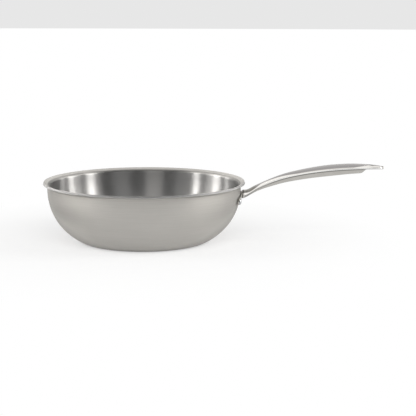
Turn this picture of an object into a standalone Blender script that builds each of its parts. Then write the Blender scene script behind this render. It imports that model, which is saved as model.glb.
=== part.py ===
"""Flat-based wok: a clad pan body, a cast long handle and the two rivets that hold it.

Metres, +Z up. The pan turns about Z, its base stands on Z = 0 and its handle runs along +X.
"""
import math

import bmesh
import bpy
from mathutils import Vector

# Pan body, as the half section of its outer face
WALL_RADIUS = 0.139
SIDE_ARC = 0.0815
CORNER_ARC = 0.017
CORNER_TURN = math.radians(27)
LIP_START = 0.0795
LIP_ARC = 0.0025
LIP_TURN = math.radians(70)
LIP_LAND = 0.0047

# Clad sheet
SKIN = 0.0005
CORE = 0.0012
PLY_GAP = 0.0003
WALL = 2 * (SKIN + PLY_GAP) + CORE

# Rivets
RIVET_HEIGHT = 0.0613
RIVET_REACH = 0.034
SHANK_RADIUS = 0.0026
HEAD_RADIUS = 0.0042
HEAD_RISE = 0.0021
INNER_HEAD_RADIUS = 0.0050
INNER_HEAD_RISE = 0.0016
HOLE_CLEARANCE = 0.0003
SEAT_GAP = 0.0003

# Strap at the handle's root, which hugs the wall
STRAP_GAP = 0.0003
STRAP_THICKNESS = 0.0030
STRAP_HEIGHT = 0.0095
STRAP_MIDDLE = 0.0665
STRAP_EDGE = 0.0008

# Handle, measured along X from the wall
HANDLE_REACH = 0.2063
OVAL_END = 0.0546
OVAL_TAPER = 1.25
PLATE_THICKNESS = 0.0038
PLATE_EDGE = 0.0013

# Side curve of the plate's top edge: it starts ROOT_LIFT above the strap's middle, turns up,
# turns down, and then flattens along the grip, where it could fall no steeper than STEEPEST_FALL
ROOT_LIFT = 0.0015
ROOT_SLOPE = math.radians(16)
RISE_ARC = 0.066
RISE_SLOPE = math.radians(32.2)
NECK_ARC = 0.1625
GRIP_SLOPE = math.radians(12)
GRIP_ARC = 0.523
STEEPEST_FALL = math.radians(-30)

# Radii of the plate's crowned top and how far its edges drop below the side curve, half widths of
# the plate, and depths of the whole section, each at a distance from the wall
CROWN_RADII = (
    (0.0000, 0.0300),
    (0.0082, 0.0270),
    (0.0180, 0.0160),
    (0.0307, 0.0145),
    (0.0457, 0.0145),
    (0.0650, 0.0200),
    (0.0900, 0.0290),
    (0.1237, 0.0320),
)
EDGE_DROPS = (
    (0.0000, 0.0000),
    (0.0076, 0.0014),
    (0.0200, 0.0015),
    (0.0440, 0.0017),
    (0.0596, 0.0013),
    (0.0770, 0.0007),
    (0.1000, 0.0002),
    (0.1370, 0.0000),
)
HALF_WIDTHS = (
    (0.0000, 0.0175),
    (0.0082, 0.0138),
    (0.0177, 0.0100),
    (0.0307, 0.0080),
    (0.0457, 0.0080),
    (0.0797, 0.0117),
    (0.1237, 0.0150),
    (HANDLE_REACH - OVAL_END, 0.0150),
)
DEPTHS = (
    (0.0000, 0.0062),
    (0.0120, 0.0051),
    (0.0210, 0.0058),
    (0.0330, 0.0073),
    (0.0460, 0.0087),
    (0.0640, 0.0096),
    (0.0917, 0.0105),
    (0.1280, 0.0108),
    (HANDLE_REACH - 0.0346, 0.0095),
)

# Web under the plate, with its hollow underside
WEB_INSET = 0.0020
WEB_CHAMFER = 0.0012
WEB_OVERLAP = 0.0008
WEB_END = HANDLE_REACH - 0.0290
WEB_END_ROUND = 0.0060
HOLLOW_START = 0.0320
HOLLOW_END = WEB_END - 0.0095
HOLLOW_ROUND = 0.0090
HOLLOW_WALL = 0.0026
HOLLOW_ROOF = 0.0034

# Hanging slot, a long hole that narrows towards the tip
SLOT_WIDE_RADIUS = 0.0055
SLOT_NARROW_RADIUS = 0.0029
SLOT_WIDE_FROM_TIP = 0.0191
SLOT_NARROW_FROM_TIP = 0.0066

# How far the cutters of the rivet holes and the slot reach past the metal
CUTTER_MARGIN = 0.010

# Facets
TURN_STEPS = 56
CORNER_STEPS = 3
SIDE_STEPS = 7
LIP_STEPS = 3
ROUND_STEPS = 24
DOME_STEPS = 4
PLATE_ROWS = 20
OVAL_ROWS = 9
PLATE_COLUMNS = 8
WEB_ROWS = 20
WEB_END_ROWS = 5
WEB_COLUMNS = 4
HOLLOW_ROWS = 16
STRAP_ROWS = 16
STRAP_END_ROWS = 3
STRAP_COLUMNS = 4
EDGE_STEPS = 2
SHARP_ANGLE = math.radians(50)
MERGE = 0.00001

SIDE_CENTRE_RADIUS = WALL_RADIUS - SIDE_ARC
SIDE_CENTRE_HEIGHT = CORNER_ARC + (SIDE_ARC - CORNER_ARC) * math.cos(CORNER_TURN)
BASE_RADIUS = SIDE_CENTRE_RADIUS + (SIDE_ARC - CORNER_ARC) * math.sin(CORNER_TURN)


def spaced(start, stop, steps):
    """Evenly spaced values from start to stop, both included."""
    return [start + (stop - start) * step / steps for step in range(steps + 1)]


def smooth(x, knots):
    """Value at x of the smooth curve through the knots, level beyond the first and last."""
    if x <= knots[0][0]:
        return knots[0][1]
    if x >= knots[-1][0]:
        return knots[-1][1]
    slopes = [0.0] * len(knots)
    for i in range(1, len(knots) - 1):
        slopes[i] = (knots[i + 1][1] - knots[i - 1][1]) / (knots[i + 1][0] - knots[i - 1][0])
    for i, (right, value) in enumerate(knots[1:]):
        if x <= right:
            break
    left, before = knots[i]
    span = right - left
    part = (x - left) / span
    rest = 1 - part
    ends = before * rest * rest * (1 + 2 * part) + value * part * part * (3 - 2 * part)
    return ends + span * part * rest * (slopes[i] * rest - slopes[i + 1] * part)


def round_end(part):
    """How much of a quarter circle's height is left at this part of its length."""
    return math.sqrt(max(0.0, 1 - part * part))


def meridian(depth):
    """Half section of the face that lies depth inside the pan's outer face, from the axis out."""
    points = [(0.0, depth)]
    for turn in spaced(0.0, CORNER_TURN, CORNER_STEPS):
        radius = CORNER_ARC - depth
        points.append((BASE_RADIUS + radius * math.sin(turn), CORNER_ARC - radius * math.cos(turn)))
    for turn in spaced(CORNER_TURN, math.pi / 2, SIDE_STEPS)[1:]:
        radius = SIDE_ARC - depth
        points.append((SIDE_CENTRE_RADIUS + radius * math.sin(turn),
                       SIDE_CENTRE_HEIGHT - radius * math.cos(turn)))
    for turn in spaced(0.0, LIP_TURN, LIP_STEPS):
        radius = LIP_ARC + depth
        points.append((WALL_RADIUS + LIP_ARC - radius * math.cos(turn),
                       LIP_START + radius * math.sin(turn)))
    radius, height = points[-1]
    points.append((radius + LIP_LAND * math.sin(LIP_TURN), height + LIP_LAND * math.cos(LIP_TURN)))
    return points


def wall_radius(height):
    """Radius of the pan's outer face at a height on its side."""
    points = meridian(0.0)
    for (inner, low), (outer, high) in zip(points, points[1:]):
        if low < high and low <= height <= high:
            return inner + (outer - inner) * (height - low) / (high - low)
    return WALL_RADIUS


def wall_tilt(height):
    """Angle by which the wall's outward normal points below level at a height."""
    return math.asin(max(0.0, SIDE_CENTRE_HEIGHT - height) / SIDE_ARC)


ROOT_RADIUS = wall_radius(STRAP_MIDDLE)
PLATE_START = STRAP_GAP + STRAP_THICKNESS / 2
RIVET_ANGLE = RIVET_REACH / wall_radius(RIVET_HEIGHT)


def side_height(along):
    """Height of the plate's top edge at a distance from the wall."""
    x = 0.0
    z = STRAP_MIDDLE + ROOT_LIFT
    slope = ROOT_SLOPE
    arcs = ((RISE_ARC, RISE_SLOPE), (-NECK_ARC, GRIP_SLOPE), (-GRIP_ARC, STEEPEST_FALL))
    for arc, end_slope in arcs:
        next_x = x + arc * (math.sin(end_slope) - math.sin(slope))
        if along <= next_x:
            break
        z -= arc * (math.cos(end_slope) - math.cos(slope))
        x = next_x
        slope = end_slope
    here = math.asin(math.sin(slope) + (along - x) / arc)
    return z - arc * (math.cos(here) - math.cos(slope)) - smooth(along, EDGE_DROPS)


def half_width(along):
    """Half width of the plate at a distance from the wall."""
    into_end = (along - (HANDLE_REACH - OVAL_END)) / OVAL_END
    if into_end <= 0:
        return smooth(along, HALF_WIDTHS)
    return HALF_WIDTHS[-1][1] * round_end(min(1.0, into_end) ** (1 / OVAL_TAPER))


def crown(along, y):
    """Rise of the plate's top above its edge."""
    width = half_width(along)
    return max(0.0, width * width - y * y) / (2 * smooth(along, CROWN_RADII))


def plate_point(along, y):
    """Point on the plate's top face."""
    return Vector((ROOT_RADIUS + along, y, side_height(along) + crown(along, y)))


def square_to_disc(u, v):
    """The point of a unit disc that stands for the point u, v of a square with sides from -1 to 1."""
    return u * math.sqrt(1 - v * v / 2), v * math.sqrt(1 - u * u / 2)


def metal(name, colour, roughness):
    """A plain metal finish."""
    material = bpy.data.materials.new(name)
    material.use_nodes = True
    shader = material.node_tree.nodes["Principled BSDF"]
    shader.inputs["Base Color"].default_value = (*colour, 1.0)
    shader.inputs["Roughness"].default_value = roughness
    shader.inputs["Metallic"].default_value = 1.0
    return material


def add_object(name, mesh, collection, material=None):
    """Link a mesh as a named object, with its material if it is a part of the pan."""
    item = bpy.data.objects.new(name, mesh)
    collection.objects.link(item)
    if material:
        mesh.materials.append(material)
    else:
        item.hide_render = True
        item.display_type = "WIRE"
    return item


def mesh_from(name, points, faces, closed=True):
    """A mesh with these faces, which are turned outwards where they close a body."""
    build = bmesh.new()
    vertices = [build.verts.new(point) for point in points]
    for face in faces:
        build.faces.new([vertices[i] for i in face])
    if closed:
        bmesh.ops.recalc_face_normals(build, faces=build.faces)
    mesh = bpy.data.meshes.new(name)
    build.to_mesh(mesh)
    build.free()
    return mesh


def sheet(name, rows):
    """An open surface over a grid of points, given as rows of equal length."""
    count = len(rows[0])
    faces = []
    for row in range(len(rows) - 1):
        for column in range(count - 1):
            corner = row * count + column
            faces.append((corner, corner + count, corner + count + 1, corner + 1))
    return mesh_from(name, [point for row in rows for point in row], faces, closed=False)


def loft(name, sections):
    """A closed solid through a row of sections, each a loop with the same number of points."""
    count = len(sections[0])
    faces = [tuple(range(count)), tuple(range((len(sections) - 1) * count, len(sections) * count))]
    for row in range(len(sections) - 1):
        for i in range(count):
            after = (i + 1) % count
            low = row * count
            faces.append((low + i, low + after, low + count + after, low + count + i))
    return mesh_from(name, [point for section in sections for point in section], faces)


def line_mesh(name, profile):
    """A mesh of edges only, in the XZ plane, for a turned shape."""
    mesh = bpy.data.meshes.new(name)
    points = [(radius, 0.0, height) for radius, height in profile]
    mesh.from_pydata(points, [(i, i + 1) for i in range(len(points) - 1)], [])
    return mesh


def turn(item, steps):
    """Turn a profile once round its Z axis."""
    screw = item.modifiers.new("Turn", "SCREW")
    screw.steps = steps
    screw.render_steps = steps
    screw.use_merge_vertices = True
    screw.merge_threshold = MERGE
    screw.use_smooth_shade = True


def thicken(item, thickness, offset):
    """Give a sheet its thickness on one side."""
    solid = item.modifiers.new("Thickness", "SOLIDIFY")
    solid.thickness = thickness
    solid.offset = offset
    solid.use_even_offset = True


def round_edges(item, width):
    """Round the sharp edges of a plate."""
    bevel = item.modifiers.new("Rounded edges", "BEVEL")
    bevel.width = width
    bevel.segments = EDGE_STEPS
    bevel.limit_method = "ANGLE"
    bevel.angle_limit = SHARP_ANGLE


def combine(item, other, operation):
    """Join another solid to this one, or cut it away."""
    boolean = item.modifiers.new(f"{operation.title()} {other.name}", "BOOLEAN")
    boolean.operation = operation
    boolean.object = other
    boolean.solver = "EXACT"


def rivet_place(side):
    """Where a rivet's axis meets the wall's outer face, and the direction in which it points."""
    angle = side * RIVET_ANGLE
    radius = wall_radius(RIVET_HEIGHT)
    tilt = wall_tilt(RIVET_HEIGHT)
    place = Vector((radius * math.cos(angle), radius * math.sin(angle), RIVET_HEIGHT))
    level = math.cos(tilt)
    axis = Vector((level * math.cos(angle), level * math.sin(angle), -math.sin(tilt)))
    return place, axis


def make_ply(name, outside, thickness, collection, material, holes):
    """One layer of the clad body, from its depth inside the outer face."""
    profile = meridian(outside + thickness) + meridian(outside)[::-1]
    ply = add_object(name, line_mesh(name, profile), collection, material)
    turn(ply, TURN_STEPS)
    for hole in holes:
        combine(ply, hole, "DIFFERENCE")
    return ply


def make_hole(side, collection):
    """Cutter for one rivet hole, through the strap and the wall."""
    place, axis = rivet_place(side)
    length = 2 * (WALL + STRAP_GAP + STRAP_THICKNESS + CUTTER_MARGIN)
    bpy.ops.mesh.primitive_cylinder_add(
        vertices=ROUND_STEPS, radius=SHANK_RADIUS + HOLE_CLEARANCE, depth=length,
        location=place, rotation=axis.to_track_quat("Z", "Y").to_euler())
    hole = bpy.context.object
    hole.name = "rivet_hole_near" if side < 0 else "rivet_hole_far"
    for old in hole.users_collection:
        old.objects.unlink(hole)
    collection.objects.link(hole)
    hole.hide_render = True
    hole.display_type = "WIRE"
    return hole


def make_rivet(name, side, collection, material):
    """Solid rivet with a domed head on the strap and a flatter one inside the pan."""
    head_seat = STRAP_GAP + STRAP_THICKNESS + SEAT_GAP
    facet_drop = WALL_RADIUS * (1 - math.cos(math.pi / TURN_STEPS))
    hollow_rise = INNER_HEAD_RADIUS ** 2 / (2 * (SIDE_ARC - WALL))
    inner_seat = -(WALL + facet_drop + hollow_rise + SEAT_GAP)
    profile = []
    for part in spaced(0.0, math.pi / 2, DOME_STEPS):
        profile.append((HEAD_RADIUS * math.sin(part), head_seat + HEAD_RISE * math.cos(part)))
    profile.append((SHANK_RADIUS, head_seat))
    profile.append((SHANK_RADIUS, inner_seat))
    for part in spaced(math.pi / 2, 0.0, DOME_STEPS):
        profile.append((INNER_HEAD_RADIUS * math.sin(part),
                        inner_seat - INNER_HEAD_RISE * math.cos(part)))
    rivet = add_object(name, line_mesh(name, profile), collection, material)
    turn(rivet, ROUND_STEPS)
    place, axis = rivet_place(side)
    rivet.location = place
    rivet.rotation_euler = axis.to_track_quat("Z", "Y").to_euler()
    return rivet


def strap_point(along, height):
    """Point on the strap's inner face, from its distance round the wall and its height."""
    angle = along / wall_radius(RIVET_HEIGHT)
    radius = wall_radius(height) + STRAP_GAP
    return Vector((radius * math.cos(angle), radius * math.sin(angle), height))


def make_strap(collection):
    """Curved strap with round ends that run round the two rivets."""
    half = STRAP_HEIGHT / 2
    rows = []
    across = spaced(-1.0, 1.0, STRAP_COLUMNS)
    for side in (-1, 1):
        ends = []
        for u in spaced(0.0, 1.0, STRAP_END_ROWS)[1:]:
            row = []
            for v in across:
                out, up = square_to_disc(u, v)
                row.append(strap_point(side * (RIVET_REACH + half * out), RIVET_HEIGHT + half * up))
            ends.append(row)
        if side < 0:
            rows.extend(reversed(ends))
            for along in spaced(-RIVET_REACH, RIVET_REACH, STRAP_ROWS):
                lift = (1 + math.cos(math.pi * along / RIVET_REACH)) / 2
                middle = RIVET_HEIGHT + (STRAP_MIDDLE - RIVET_HEIGHT) * lift
                rows.append([strap_point(along, middle + half * v) for v in across])
        else:
            rows.extend(ends)
    strap = add_object("strap", sheet("strap", rows), collection)
    thicken(strap, STRAP_THICKNESS, 1.0)
    round_edges(strap, STRAP_EDGE)
    return strap


def web_section(along, half, top, bottom):
    """Loop round the web at a distance from the wall, with its top following the crown."""
    edge = side_height(along)
    x = ROOT_RADIUS + along
    chamfer = min(WEB_CHAMFER, half / 2)
    loop = []
    for part in spaced(1.0, -1.0, WEB_COLUMNS):
        y = part * half
        loop.append(Vector((x, y, edge + crown(along, y) + top)))
    rise = min(chamfer, (top - bottom) / 3)
    loop.append(Vector((x, -half, edge + bottom + rise)))
    loop.append(Vector((x, chamfer - half, edge + bottom)))
    loop.append(Vector((x, half - chamfer, edge + bottom)))
    loop.append(Vector((x, half, edge + bottom + rise)))
    return loop


def make_web(collection):
    """Web under the plate, which ends in a rounded slope before the slot."""
    top = WEB_OVERLAP - PLATE_THICKNESS
    straight = WEB_END - WEB_END_ROUND
    stations = spaced(PLATE_START, straight, WEB_ROWS)
    for turned in spaced(0.0, math.pi / 2, WEB_END_ROWS)[1:-1]:
        stations.append(straight + WEB_END_ROUND * math.sin(turned))
    sections = []
    for along in stations:
        left = round_end(max(0.0, (along - straight) / WEB_END_ROUND))
        depth = PLATE_THICKNESS + (smooth(along, DEPTHS) - PLATE_THICKNESS) * left
        bottom = min(-depth, top - WEB_OVERLAP / 4)
        sections.append(web_section(along, half_width(along) - WEB_INSET, top, bottom))
    return add_object("web", loft("web", sections), collection)


def make_hollow(collection):
    """Cutter for the hollow underside of the web, with scooped ends."""
    sections = []
    for part in spaced(0.0, 1.0, HOLLOW_ROWS):
        along = HOLLOW_START + (HOLLOW_END - HOLLOW_START) * part
        near_end = min(along - HOLLOW_START, HOLLOW_END - along) / HOLLOW_ROUND
        left = round_end(1 - min(1.0, near_end))
        depth = smooth(along, DEPTHS)
        top = -depth + (depth - HOLLOW_ROOF) * left
        half = half_width(along) - WEB_INSET - HOLLOW_WALL
        sections.append(web_section(along, half, top, -depth - PLATE_THICKNESS))
    return add_object("hollow", loft("hollow", sections), collection)


def make_slot(collection):
    """Cutter for the hanging slot: two rounds of unlike size and their common tangents."""
    tip = ROOT_RADIUS + HANDLE_REACH
    wide = tip - SLOT_WIDE_FROM_TIP
    narrow = tip - SLOT_NARROW_FROM_TIP
    lean = math.asin((SLOT_WIDE_RADIUS - SLOT_NARROW_RADIUS) / (narrow - wide))
    outline = []
    for turned in spaced(lean - math.pi / 2, math.pi / 2 - lean, ROUND_STEPS // 3):
        outline.append((narrow + SLOT_NARROW_RADIUS * math.cos(turned),
                        SLOT_NARROW_RADIUS * math.sin(turned)))
    for turned in spaced(math.pi / 2 - lean, 3 * math.pi / 2 + lean, ROUND_STEPS // 2):
        outline.append((wide + SLOT_WIDE_RADIUS * math.cos(turned),
                        SLOT_WIDE_RADIUS * math.sin(turned)))
    middle = side_height(HANDLE_REACH - SLOT_WIDE_FROM_TIP)
    reach = PLATE_THICKNESS + CUTTER_MARGIN
    sections = [[Vector((x, y, middle + side * reach)) for x, y in outline] for side in (-1, 1)]
    return add_object("slot", loft("slot", sections), collection)


def make_handle(collection, cutters, material, holes):
    """Cast handle: crowned plate, web, strap, hollow underside, slot and rivet holes."""
    across = spaced(-1.0, 1.0, PLATE_COLUMNS)
    oval_start = HANDLE_REACH - OVAL_END
    rows = []
    for along in spaced(PLATE_START, oval_start, PLATE_ROWS):
        rows.append([plate_point(along, v * half_width(along)) for v in across])
    for u in spaced(0.0, 1.0, OVAL_ROWS)[1:]:
        row = []
        for v in across:
            out, aside = square_to_disc(u, v)
            row.append(plate_point(oval_start + OVAL_END * out ** OVAL_TAPER,
                                   aside * half_width(oval_start)))
        rows.append(row)
    handle = add_object("handle", sheet("handle", rows), collection, material)
    thicken(handle, PLATE_THICKNESS, -1.0)
    round_edges(handle, PLATE_EDGE)
    combine(handle, make_web(cutters), "UNION")
    combine(handle, make_strap(cutters), "UNION")
    combine(handle, make_hollow(cutters), "DIFFERENCE")
    combine(handle, make_slot(cutters), "DIFFERENCE")
    for hole in holes:
        combine(handle, hole, "DIFFERENCE")
    return handle


def main():
    for old in list(bpy.data.objects):
        bpy.data.objects.remove(old)
    parts = bpy.data.collections.new("flat_based_wok")
    cutters = bpy.data.collections.new("cutters")
    for collection in (parts, cutters):
        bpy.context.scene.collection.children.link(collection)

    satin_steel = metal("satin_steel", (0.38, 0.37, 0.355), 0.34)
    aluminium = metal("aluminium", (0.72, 0.72, 0.72), 0.45)
    brushed_steel = metal("brushed_steel", (0.42, 0.41, 0.39), 0.28)
    polished_steel = metal("polished_steel", (0.55, 0.54, 0.52), 0.16)
    rivet_steel = metal("rivet_steel", (0.50, 0.49, 0.47), 0.22)

    holes = [make_hole(side, cutters) for side in (-1, 1)]
    core_depth = SKIN + PLY_GAP
    inner_depth = core_depth + CORE + PLY_GAP
    make_ply("outer_skin", 0.0, SKIN, parts, satin_steel, holes)
    make_ply("aluminium_core", core_depth, CORE, parts, aluminium, holes)
    make_ply("inner_skin", inner_depth, SKIN, parts, brushed_steel, holes)
    make_handle(parts, cutters, polished_steel, holes)
    make_rivet("rivet_near", -1, parts, rivet_steel)
    make_rivet("rivet_far", 1, parts, rivet_steel)


main()
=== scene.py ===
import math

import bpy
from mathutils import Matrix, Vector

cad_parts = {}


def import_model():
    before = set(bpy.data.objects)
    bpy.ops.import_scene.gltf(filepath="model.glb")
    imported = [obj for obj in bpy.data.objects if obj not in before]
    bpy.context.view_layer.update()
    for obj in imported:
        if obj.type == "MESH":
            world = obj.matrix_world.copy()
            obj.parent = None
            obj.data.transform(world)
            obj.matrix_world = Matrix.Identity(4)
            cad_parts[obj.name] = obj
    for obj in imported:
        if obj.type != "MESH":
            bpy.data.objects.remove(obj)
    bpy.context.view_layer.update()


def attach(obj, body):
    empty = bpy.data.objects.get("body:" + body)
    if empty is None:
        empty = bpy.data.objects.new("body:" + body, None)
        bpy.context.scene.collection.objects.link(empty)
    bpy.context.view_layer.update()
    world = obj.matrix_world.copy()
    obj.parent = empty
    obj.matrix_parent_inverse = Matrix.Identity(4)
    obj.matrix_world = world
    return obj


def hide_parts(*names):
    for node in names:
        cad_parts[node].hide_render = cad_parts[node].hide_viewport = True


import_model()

# A flat-based wok on a pale floor in soft studio light. Metres, +Z up: the pan turns about Z, its
# base stands on Z = 0, its handle runs along +X, and the camera looks along +Y.

# Pan body, as the half section of its outer face
WALL_RADIUS = 0.139
SIDE_ARC = 0.0815
CORNER_ARC = 0.017
CORNER_TURN = math.radians(27)
LIP_START = 0.0795
LIP_ARC = 0.0025
LIP_TURN = math.radians(70)
LIP_LAND = 0.0047
SIDE_CENTRE_RADIUS = WALL_RADIUS - SIDE_ARC
SIDE_CENTRE_HEIGHT = CORNER_ARC + (SIDE_ARC - CORNER_ARC) * math.cos(CORNER_TURN)
BASE_RADIUS = SIDE_CENTRE_RADIUS + (SIDE_ARC - CORNER_ARC) * math.sin(CORNER_TURN)
BASE_RINGS = (0.004, 0.012, 0.024, 0.036, 0.048, 0.060, 0.070, 0.079)
CORNER_STEPS = 8
SIDE_STEPS = 26
LIP_STEPS = 10
RING_POINTS = 160
SMOOTH_ANGLE = math.radians(30)

# Clad sheet: depths of the bonds below the outer face
OUTER_BOND = 0.00065
INNER_BOND = 0.00215
WALL = 0.0028
CORE_RECESS = 0.00006
CUT_EDGE = 0.00009

# Rivets
RIVET_HEIGHT = 0.0613
RIVET_REACH = 0.034
SHANK_RADIUS = 0.0026
HEAD_SEAT = 0.0036
HEAD_RADIUS = 0.0042
HEAD_RISE = 0.0021
INNER_SEAT = 0.0035
INNER_HEAD_RADIUS = 0.0050
INNER_HEAD_RISE = 0.0016
HEAD_EDGE = 0.0002
HEAD_INSET = 0.0001
HEAD_STEPS = 10
HEAD_FIRST_TURN = 0.06
RIVET_POINTS = 48

# Strap that hugs the wall
STRAP_GAP = 0.0003
STRAP_THICKNESS = 0.0030
STRAP_HEIGHT = 0.0095
STRAP_MIDDLE = 0.0665
STRAP_END_SHARE = 0.1
STRAP_GRID = (6, 60)

# Handle, measured along X from the wall. In the tables each pair is a distance and a length.
HANDLE_REACH = 0.2063
OVAL_END = 0.0546
OVAL_TAPER = 1.25
PLATE_START = STRAP_GAP + STRAP_THICKNESS / 2
PLATE_THICKNESS = 0.0038
ROOT_LIFT = 0.0015
ROOT_SLOPE = math.radians(16)
RISE_ARC = 0.066
RISE_SLOPE = math.radians(32.2)
NECK_ARC = 0.1625
GRIP_SLOPE = math.radians(12)
GRIP_ARC = 0.523
TIP_SLOPE = math.radians(-30)
CROWN_RADII = (
    (0.0000, 0.0300), (0.0082, 0.0270), (0.0180, 0.0160), (0.0307, 0.0145), (0.0457, 0.0145),
    (0.0650, 0.0200), (0.0900, 0.0290), (0.1237, 0.0320),
)
EDGE_DROPS = (
    (0.0000, 0.0000), (0.0076, 0.0014), (0.0200, 0.0015), (0.0440, 0.0017), (0.0596, 0.0013),
    (0.0770, 0.0007), (0.1000, 0.0002), (0.1370, 0.0000),
)
HALF_WIDTHS = (
    (0.0000, 0.0175), (0.0082, 0.0138), (0.0177, 0.0100), (0.0307, 0.0080),
    (0.0457, 0.0080), (0.0797, 0.0117), (0.1237, 0.0150), (HANDLE_REACH - OVAL_END, 0.0150),
)
DEPTHS = (
    (0.0000, 0.0062), (0.0120, 0.0051), (0.0210, 0.0058), (0.0330, 0.0073), (0.0460, 0.0087),
    (0.0640, 0.0096), (0.0917, 0.0105), (0.1280, 0.0108), (HANDLE_REACH - 0.0346, 0.0095),
)
STATIONS = 64
TIP_LENGTH = 0.012
TIP_TRIM = 0.0004
TIP_TURN = math.radians(83)
TIP_STATIONS = 14
TIP_LEAST_SHARE = 0.25
SEAM = 0.00001
EASED_EDGE = 0.0003
EASED_ANGLE = math.radians(50)

# Section of the handle. A share is a part of its width or thickness.
TOP_SHARES = (0.0, 0.22, 0.44, 0.66, 0.85, 1.0)
RIM_RADIUS = 0.0018
RIM_SHARE = 0.45
RIM_SLOPE_WIDTH = 1.9
RIM_LEVELS = (0.40, 0.45, 0.82)
RIM_INSETS = (0.08, 0.02)
WEB_INSET = 0.0020
WEB_SHARE = 0.62
WEB_DRAFT = 0.0002
WEB_CHAMFER = 0.0010
WEB_FILLET = 0.0009
WEB_END = HANDLE_REACH - 0.0290
WEB_END_ROUND = 0.0060
HOLLOW_START = 0.0320
HOLLOW_END = WEB_END - 0.0095
HOLLOW_ROUND = 0.0090
HOLLOW_WALL = 0.0026
HOLLOW_SHARE = 0.3
HOLLOW_ROOF = 0.0034
HOLLOW_LEDGE = 0.0007
HOLLOW_LEDGE_WIDTH = 0.008
HOLLOW_CHAMFER = 0.0008
HOLLOW_DRAFT = 0.0003
HOLLOW_FILLET = 0.0010
ROOF_SHARES = (0.78, 0.4)
ROOF_CROWN = 0.4

# Hanging slot
SLOT_WIDE_RADIUS = 0.0055
SLOT_NARROW_RADIUS = 0.0029
SLOT_WIDE_FROM_TIP = 0.0191
SLOT_NARROW_FROM_TIP = 0.0066
SLOT_CUT_HEIGHT = 0.03
SLOT_POINTS = 64
SLOT_FLANK_GUARD = 1e-6

# Painted light and shade on the handle: a highlight on its rim and on the slot's near wall, and
# shade on its top, in the crease under the rim, at the root, at the tip and on the slot's far
# wall.
# A pair says where a mark begins to grow and is full.
TOP_BANDS = (
    (0.0000, 0.0130), (0.0076, 0.0114), (0.0134, 0.0101), (0.0221, 0.0075), (0.0307, 0.0045),
    (0.0423, 0.0045), (0.0567, 0.0064), (0.0711, 0.0090), (0.0856, 0.0114),
    (0.1030, 0.0134), (0.1200, 0.0146), (0.1430, 0.0150), (0.1580, 0.0140), (0.1660, 0.0125),
    (0.1780, 0.0090), (0.1840, 0.0055), (0.1900, 0.0030),
)
NEAR_MARGIN = 0.0010
FAR_MARGIN = 0.0008
BAND_BLUR = 0.0006
STEP_BLUR = 0.0004
STEP_LEVEL = 0.48
STEP_DROP = 0.20
STEP_DROP_GROWS = (0.020, 0.055)
CREASE_FOOT = (0.0012, 0.0002)
CREASE_GROWS = (0.004, 0.008)
WEB_END_FADE = 0.35
WEB_END_GROWS = (-0.004, 0.002)
NECK_FADE = 0.45
NECK_FADE_GROWS = (0.010, 0.022)
NECK_FADE_ENDS = (0.050, 0.036)
ROOT_SHADE_GROWS = (0.026, 0.018)
ROOT_SHADE_BLUR = 0.0003
TIP_SHADE = 0.55
TIP_SHADE_GROWS = (-0.0042, -0.0022)
SLOT_EDGE_GROWS = (0.0007, 0.0004)
SLOT_START_GROWS = (-0.0015, -0.0035)
SLOT_SIDE_GROWS = (0.0, 0.0010)
SLOT_END_GROWS = (-0.0005, -0.0020)
GRIP_GROWS = (0.001, 0.006)

# Tints of the finishes. A pair is the darkest and the lightest tint of an uneven one.
SATIN_TINTS = ((0.445, 0.431, 0.407), (0.55, 0.535, 0.508))
BRUSHED_TINTS = ((0.408, 0.409, 0.410), (0.458, 0.459, 0.460))
CORE_TINTS = ((0.34, 0.34, 0.345), (0.42, 0.42, 0.425))
CASTING_TINTS = ((0.45, 0.437, 0.41), (0.50, 0.487, 0.46))
RIVET_TINTS = ((0.46, 0.47, 0.485), (0.54, 0.55, 0.56))
FLOOR_TINTS = ((0.93, 0.93, 0.93), (0.95, 0.95, 0.95))
# Ground cut edge of the lip: its own rough tone, made lighter as a painted highlight along the
# edge
CUT_EDGE_TONE_AND_HIGHLIGHT = (0.47, 0.468, 0.46, 1.0)
# Painted shade on the bend of the inside lip
LIP_BEND_SHADE = (0.28, 0.278, 0.272, 1.0)
LIP_RIM_TONE = (0.56, 0.555, 0.54, 1.0)
# Painted dark reflection on the handle's top, painted highlight on its rim, painted shade in the
# crease under the rim
HANDLE_TOP_SHADE = (0.345, 0.34, 0.35, 1.0)
HANDLE_RIM_HIGHLIGHT = (0.95, 0.95, 0.94, 1.0)
CREASE_SHADE_TONE = (0.24, 0.235, 0.22, 1.0)
# Painted shade on the far wall of the hanging slot
SLOT_SHADE_TONE = (0.22, 0.218, 0.21, 1.0)
BLACK = (0.0, 0.0, 0.0, 1.0)
COOL_GLOW = (0.93, 0.965, 1.0, 1.0)
WARM_GLOW = (1.0, 0.975, 0.94, 1.0)

# Roughness of the finishes, a pair as for the tints
SATIN_ROUGHNESS = (0.54, 0.68)
BRUSHED_ROUGHNESS = (0.31, 0.38)
CORE_ROUGHNESS = (0.6, 0.75)
CASTING_ROUGHNESS = (0.14, 0.21)
RIVET_ROUGHNESS = (0.16, 0.28)
EDGE_ROUGHNESS = 0.7
LIP_ROUGHNESS = 0.39
SLOT_ROUGHNESS = 0.6

# Parts of the finishes
NOISE_RANGE = (0.3, 0.7)
LINE_SHARE = 0.7
MARK_SHARE = 0.3
LEAST_RADIUS = 0.0005
SATIN_METAL = 0.68
LIP_ANISOTROPY = 0.6

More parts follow.
